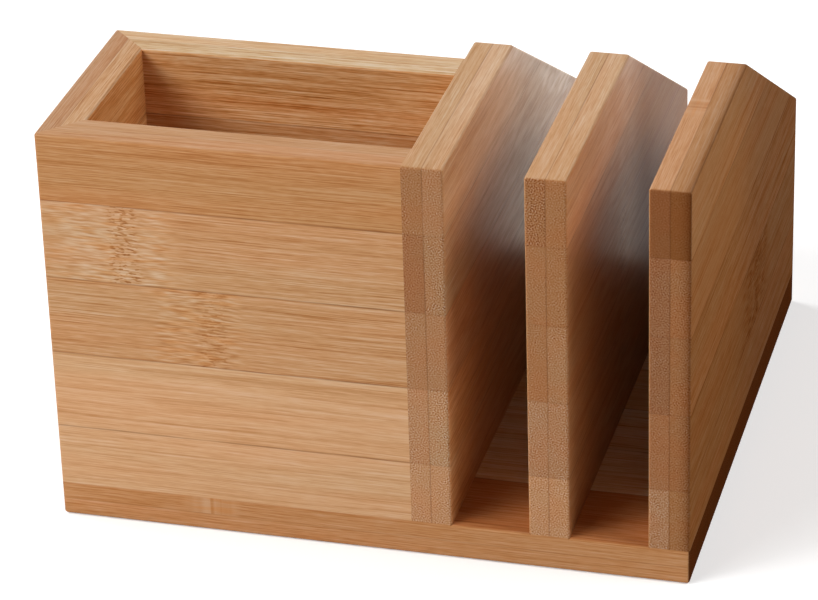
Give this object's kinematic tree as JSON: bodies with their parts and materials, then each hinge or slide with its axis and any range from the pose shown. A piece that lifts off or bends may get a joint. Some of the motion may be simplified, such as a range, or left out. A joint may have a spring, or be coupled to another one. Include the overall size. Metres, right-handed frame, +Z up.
{
  "type": "desk organizer",
  "caption": "Bamboo desk organizer: an open mitred pen box and upright dividers with sloped backs on one base board.",
  "frame": {"origin": "middle of the base board's underside", "axes": "+X along the front from the pen box to the last divider, +Y from front to back, +Z up"},
  "size_m": [0.157, 0.146, 0.104],
  "materials": {
    "bamboo": "satin clear lacquer over two-ply laminated bamboo strips",
    "screw_steel": "zinc plated",
    "dowel_wood": "bare"
  },
  "bodies": {
    "root": {"base_lower_ply": "bamboo", "base_upper_ply": "bamboo", "front_wall_outer_ply": "bamboo", "front_wall_inner_ply": "bamboo", "left_wall_outer_ply": "bamboo", "left_wall_inner_ply": "bamboo", "back_wall_outer_ply": "bamboo", "back_wall_inner_ply": "bamboo", "divider_1_left_ply": "bamboo", "divider_1_right_ply": "bamboo", "divider_2_left_ply": "bamboo", "divider_2_right_ply": "bamboo", "divider_3_left_ply": "bamboo", "divider_3_right_ply": "bamboo", "base_screws": "screw_steel", "wall_dowels": "dowel_wood"}
  },
  "joints": []
}
